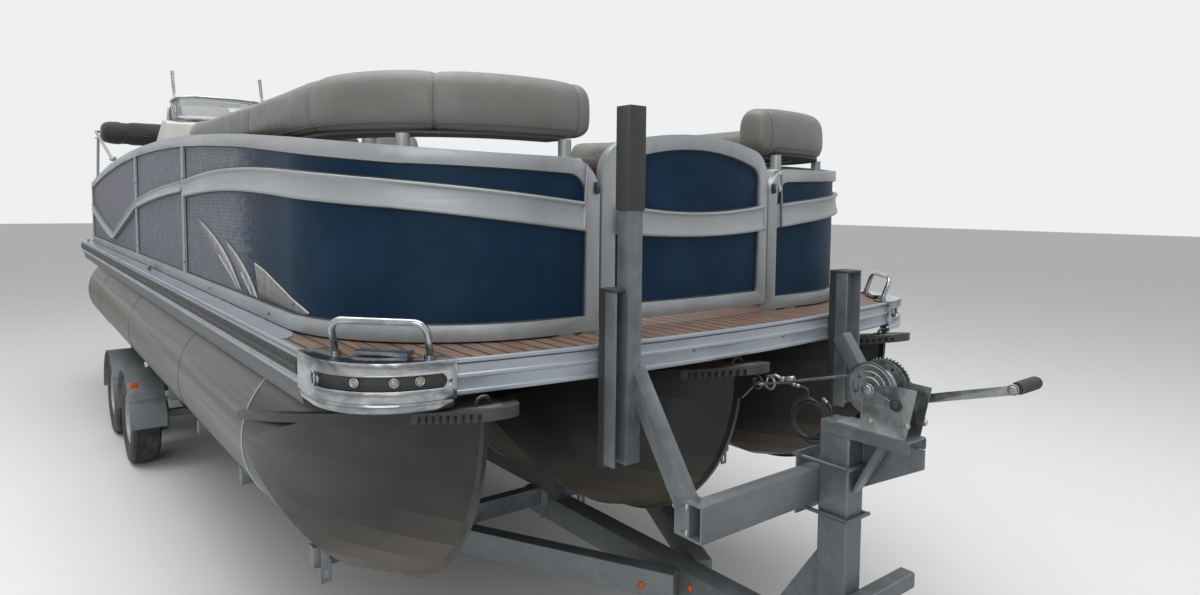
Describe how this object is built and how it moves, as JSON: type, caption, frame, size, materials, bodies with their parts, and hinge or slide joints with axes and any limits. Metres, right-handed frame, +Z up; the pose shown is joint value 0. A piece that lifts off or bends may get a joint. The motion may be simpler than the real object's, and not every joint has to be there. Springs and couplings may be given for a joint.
{
  "type": "pontoon boat on a tandem-axle trailer",
  "caption": "Three-tube pontoon boat with railed deck, bow lounges, helm, folded top and outboard, standing on its bunk trailer with winch post, bow stops and tongue jack.",
  "frame": {"origin": "on the ground under the middle of boat and trailer together", "axes": "+X forward to the bow and the tow coupler, +Y to port, +Z up"},
  "size_m": [9.984, 2.614, 2.56],
  "materials": {
    "tube_metal": "wet mill aluminium, satin",
    "rail_metal": "bright anodised, satin",
    "edge_metal": "bright anodised, satin",
    "panel_paint": "navy, gloss",
    "cast_metal": "polished casting",
    "lamp_lens": "clear lens",
    "screen": "smoked acrylic",
    "deck_board": "marine board",
    "seat_shell": "moulded, satin",
    "vinyl": "sewn marine vinyl, satin",
    "canvas": "woven canvas",
    "console_shell": "moulded gelcoat",
    "black_plastic": "moulded",
    "rubber": "ribbed, matte",
    "motor_paint": "black, gloss",
    "prop_metal": "polished",
    "galvanised": "hot dip galvanised, matte",
    "zinc": "zinc plated",
    "bunk_carpet": "carpeted timber",
    "axle_paint": "black, satin",
    "tread": "road tyre",
    "rim_paint": "silver, satin"
  },
  "bodies": {
    "boat_and_trailer": {"pontoon_starboard": "tube_metal", "pontoon_center": "tube_metal", "pontoon_port": "tube_metal", "nose_bumpers": "rubber", "deck": "deck_board", "deck_frame": "edge_metal", "deck_edge_trim": "edge_metal", "deck_skirts": "edge_metal", "bow_corners": "cast_metal", "bow_lights": "lamp_lens", "fence_starboard": "rail_metal", "fence_port": "rail_metal", "fence_stern": "rail_metal", "panels_starboard": "panel_paint", "panels_port": "panel_paint", "panels_stern": "panel_paint", "seat_bases": "seat_shell", "seat_cushions": "vinyl", "lounge_bolsters": "vinyl", "helm_console": "console_shell", "windshield": "screen", "support_posts": "rail_metal", "deck_hardware": "cast_metal", "motor_pod": "tube_metal", "trailer_frame": "galvanised", "bunks": "bunk_carpet", "axles": "axle_paint", "fenders": "galvanised", "winch_post": "galvanised", "bow_stop_frame": "galvanised", "bow_stop_pads": "rubber", "winch": "zinc", "safety_cable": "black_plastic", "safety_cable_coil": "black_plastic", "winch_grip": "black_plastic", "tongue_jack": "zinc"},
    "bow_gate": {"bow_gate_frame": "rail_metal", "bow_gate_panel": "panel_paint"},
    "side_gate": {"side_gate_frame": "rail_metal", "side_gate_panel": "panel_paint"},
    "stern_gate": {"stern_gate_frame": "rail_metal", "stern_gate_panel": "panel_paint"},
    "helm_chair_body": {"helm_chair": "vinyl"},
    "mate_chair_body": {"mate_chair": "vinyl"},
    "helm_wheel_body": {"helm_wheel": "black_plastic"},
    "folded_top": {"bimini_frame": "rail_metal", "bimini_boot": "canvas"},
    "motor_bracket": {"outboard_bracket": "motor_paint"},
    "motor": {"outboard_leg": "motor_paint", "outboard_cowl": "motor_paint"},
    "propeller_body": {"propeller": "prop_metal"},
    "ladder": {"boarding_ladder": "rail_metal"},
    "wheel_front_starboard": {"tyre_front_starboard": "tread", "rim_front_starboard": "rim_paint"},
    "wheel_front_port": {"tyre_front_port": "tread", "rim_front_port": "rim_paint"},
    "wheel_rear_starboard": {"tyre_rear_starboard": "tread", "rim_rear_starboard": "rim_paint"},
    "wheel_rear_port": {"tyre_rear_port": "tread", "rim_rear_port": "rim_paint"}
  },
  "joints": [
    {"name": "bow_gate_hinge", "type": "hinge", "parent": "boat_and_trailer", "child": "bow_gate", "pos_m": [2.843, 0.379, 1.7], "axis": [0, 0, -1], "range_deg": [0, 90]},
    {"name": "side_gate_hinge", "type": "hinge", "parent": "boat_and_trailer", "child": "side_gate", "pos_m": [-0.155, 1.184, 1.7], "axis": [0, 0, -1], "range_deg": [0, 90]},
    {"name": "stern_gate_hinge", "type": "hinge", "parent": "boat_and_trailer", "child": "stern_gate", "pos_m": [-3.698, -1.095, 1.7], "axis": [0, 0, -1], "range_deg": [0, 90]},
    {"name": "helm_chair_swivel", "type": "hinge", "parent": "boat_and_trailer", "child": "helm_chair_body", "pos_m": [-1.01, -0.755, 1.65], "axis": [0, 0, 1], "continuous": true},
    {"name": "mate_chair_swivel", "type": "hinge", "parent": "boat_and_trailer", "child": "mate_chair_body", "pos_m": [-1, 0.66, 1.65], "axis": [0, 0, 1], "continuous": true},
    {"name": "helm_wheel_spin", "type": "hinge", "parent": "boat_and_trailer", "child": "helm_wheel_body", "pos_m": [-0.534, -0.82, 2.06], "axis": [1, 0, 0], "range_deg": [-600, 600]},
    {"name": "top_pivot", "type": "hinge", "parent": "boat_and_trailer", "child": "folded_top", "pos_m": [-2.25, 0, 2.112], "axis": [0, 1, 0], "range_deg": [0, 75]},
    {"name": "motor_tilt", "type": "hinge", "parent": "boat_and_trailer", "child": "motor_bracket", "pos_m": [-4.452, 0, 1.14], "axis": [0, 1, 0], "range_deg": [0, 60]},
    {"name": "motor_steer", "type": "hinge", "parent": "motor_bracket", "child": "motor", "pos_m": [-4.562, 0, 1], "axis": [0, 0, 1], "range_deg": [-30, 30]},
    {"name": "propeller_spin", "type": "hinge", "parent": "motor", "child": "propeller_body", "pos_m": [-4.852, 0, 0.65], "axis": [1, 0, 0], "continuous": true},
    {"name": "ladder_fold", "type": "hinge", "parent": "boat_and_trailer", "child": "ladder", "pos_m": [-4.036, 0.745, 1.422], "axis": [0, -1, 0], "range_deg": [0, 180]},
    {"name": "wheel_front_starboard_spin", "type": "hinge", "parent": "boat_and_trailer", "child": "wheel_front_starboard", "pos_m": [-1.24, -1.19, 0.305], "axis": [0, 1, 0], "continuous": true},
    {"name": "wheel_front_port_spin", "type": "hinge", "parent": "boat_and_trailer", "child": "wheel_front_port", "pos_m": [-1.24, 1.19, 0.305], "axis": [0, 1, 0], "continuous": true},
    {"name": "wheel_rear_starboard_spin", "type": "hinge", "parent": "boat_and_trailer", "child": "wheel_rear_starboard", "pos_m": [-2.09, -1.19, 0.305], "axis": [0, 1, 0], "continuous": true},
    {"name": "wheel_rear_port_spin", "type": "hinge", "parent": "boat_and_trailer", "child": "wheel_rear_port", "pos_m": [-2.09, 1.19, 0.305], "axis": [0, 1, 0], "continuous": true}
  ],
  "couplings": [
    {"joint": "helm_wheel_spin", "follows": "motor_steer", "ratio": 20}
  ]
}
